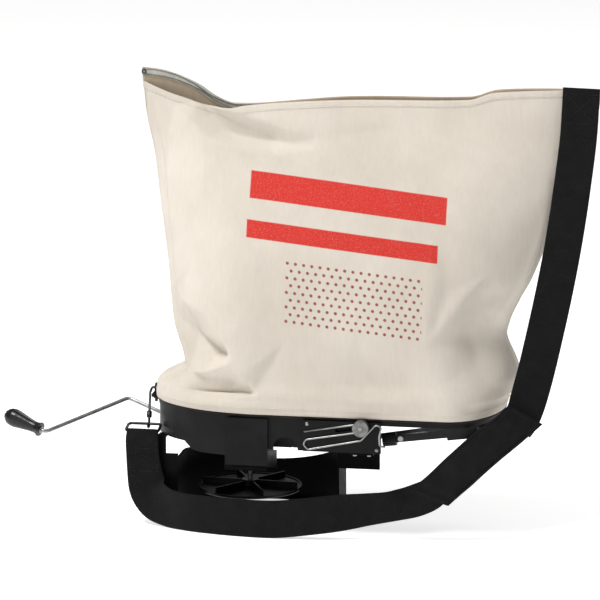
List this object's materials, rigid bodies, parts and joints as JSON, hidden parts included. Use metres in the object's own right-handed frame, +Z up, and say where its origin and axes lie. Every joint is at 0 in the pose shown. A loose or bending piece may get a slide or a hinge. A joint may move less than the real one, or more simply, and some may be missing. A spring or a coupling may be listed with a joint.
{
  "type": "broadcast spreader",
  "caption": "Shoulder-carried broadcast spreader: canvas hopper bag on a black tray, hand crank and bevel gears driving a spinning disc, with deflector, shut-off gate and strap.",
  "frame": {"origin": "middle of the footprint, on the floor", "axes": "+Z up, +X along the tray from the crank towards the strap end, -Y is the front that throws, +Y is the wearer's side"},
  "size_m": [0.7677, 0.2214, 0.5799],
  "materials": {
    "canvas": "natural cotton canvas, plain weave",
    "zip_tape": "grey woven tape",
    "zip_coil": "moulded coil",
    "zip_metal": "tumbled metal",
    "hem_binding": "dark binding",
    "tray_plastic": "black moulded polypropylene, fine grain",
    "housing_plastic": "black moulded plastic",
    "guard_plastic": "black moulded plastic, satin",
    "impeller_plastic": "black moulded plastic, semi gloss",
    "gear_nylon": "natural nylon",
    "gate_steel": "zinc plated sheet",
    "lever_black": "black coated steel",
    "rod_steel": "zinc plated rod",
    "screw_steel": "zinc plated",
    "knob_metal": "nickel plated, knurled",
    "grip_plastic": "black moulded plastic, polished",
    "knurl_black": "knurled black rubber",
    "hook_steel": "black coated wire",
    "webbing": "black polypropylene webbing",
    "pad_fabric": "black nylon, padded"
  },
  "bodies": {
    "frame": {"bag_back_panel": "canvas", "bag_front_panel": "canvas", "crank_bush": "gear_nylon", "deflector_guard": "guard_plastic", "eye_bolt": "hook_steel", "gate_rails": "housing_plastic", "gearbox_front_cover": "tray_plastic", "gearbox_housing": "housing_plastic", "gearbox_screws": "screw_steel", "guard_screws": "screw_steel", "hem_band": "hem_binding", "hopper_tray": "tray_plastic", "lever_pivot_bolt": "screw_steel", "lower_bush": "gear_nylon", "lower_strap": "webbing", "rate_plate": "tray_plastic", "rate_plate_screws": "screw_steel", "shoulder_pad": "pad_fabric", "strap_link": "hook_steel", "strap_ring": "hook_steel", "upper_bush": "gear_nylon", "upper_strap": "webbing", "zipper_coil": "zip_coil", "zipper_stops": "zip_metal", "zipper_tape_back": "zip_tape", "zipper_tape_front": "zip_tape"},
    "crank": {"crank_rod": "rod_steel", "crank_gear": "gear_nylon", "crank_collar": "rod_steel", "grip_washer": "screw_steel", "grip_shoulder": "screw_steel"},
    "grip": {"handle_grip": "grip_plastic"},
    "spinner": {"spinner_shaft": "rod_steel", "spinner_pinion": "gear_nylon", "impeller_disc": "impeller_plastic", "impeller_nut": "screw_steel", "agitator": "rod_steel"},
    "gate": {"gate_slide": "gate_steel"},
    "lever": {"gate_lever": "lever_black", "lever_drive_pin": "screw_steel", "lever_grip": "knurl_black", "lever_grip_screw": "screw_steel"},
    "rate_stop": {"rate_bolt": "screw_steel", "rate_wire": "rod_steel"},
    "stop_knob": {"rate_knob": "knob_metal"},
    "zip_slider": {"zipper_slider": "zip_metal"},
    "zip_pull": {"zipper_pull": "zip_metal"}
  },
  "joints": [
    {"name": "crank_turn", "type": "hinge", "parent": "frame", "child": "crank", "pos_m": [-0.06624, 0.00255, 0.084], "axis": [-0.9055, 0.3296, 0.2672], "continuous": true},
    {"name": "grip_turn", "type": "hinge", "parent": "crank", "child": "grip", "pos_m": [-0.33412, -0.02344, 0.1087], "axis": [-0.9055, 0.3296, 0.2672], "continuous": true},
    {"name": "spinner_turn", "type": "hinge", "parent": "frame", "child": "spinner", "pos_m": [-0.06624, 0.00255, 0.084], "axis": [0, 0, 1], "continuous": true},
    {"name": "gate_travel", "type": "slide", "parent": "frame", "child": "gate", "axis": [1, 0, 0], "range_m": [0, 0.019]},
    {"name": "lever_swing", "type": "hinge", "parent": "frame", "child": "lever", "pos_m": [0.23376, 0.02855, 0.1355], "axis": [-0.1323, 0, 0.9912], "range_deg": [0, 19.8]},
    {"name": "rate_set", "type": "slide", "parent": "frame", "child": "rate_stop", "axis": [0.9848, 0, 0.1736], "range_m": [-0.03, 0.006]},
    {"name": "knob_turn", "type": "hinge", "parent": "rate_stop", "child": "stop_knob", "pos_m": [0.09476, -0.10445, 0.147], "axis": [0, -1, 0], "range_deg": [0, 180]},
    {"name": "zip_travel", "type": "slide", "parent": "frame", "child": "zip_slider", "axis": [1, 0, 0], "range_m": [0, 0.46]},
    {"name": "zip_pull_swing", "type": "hinge", "parent": "zip_slider", "child": "zip_pull", "pos_m": [-0.14024, 0.00255, 0.5265], "axis": [0, -1, 0], "range_deg": [0, 150]}
  ],
  "couplings": [
    {"joint": "spinner_turn", "follows": "crank_turn", "ratio": -3},
    {"joint": "lever_swing", "follows": "gate_travel", "rad_per_m": 18.18}
  ]
}
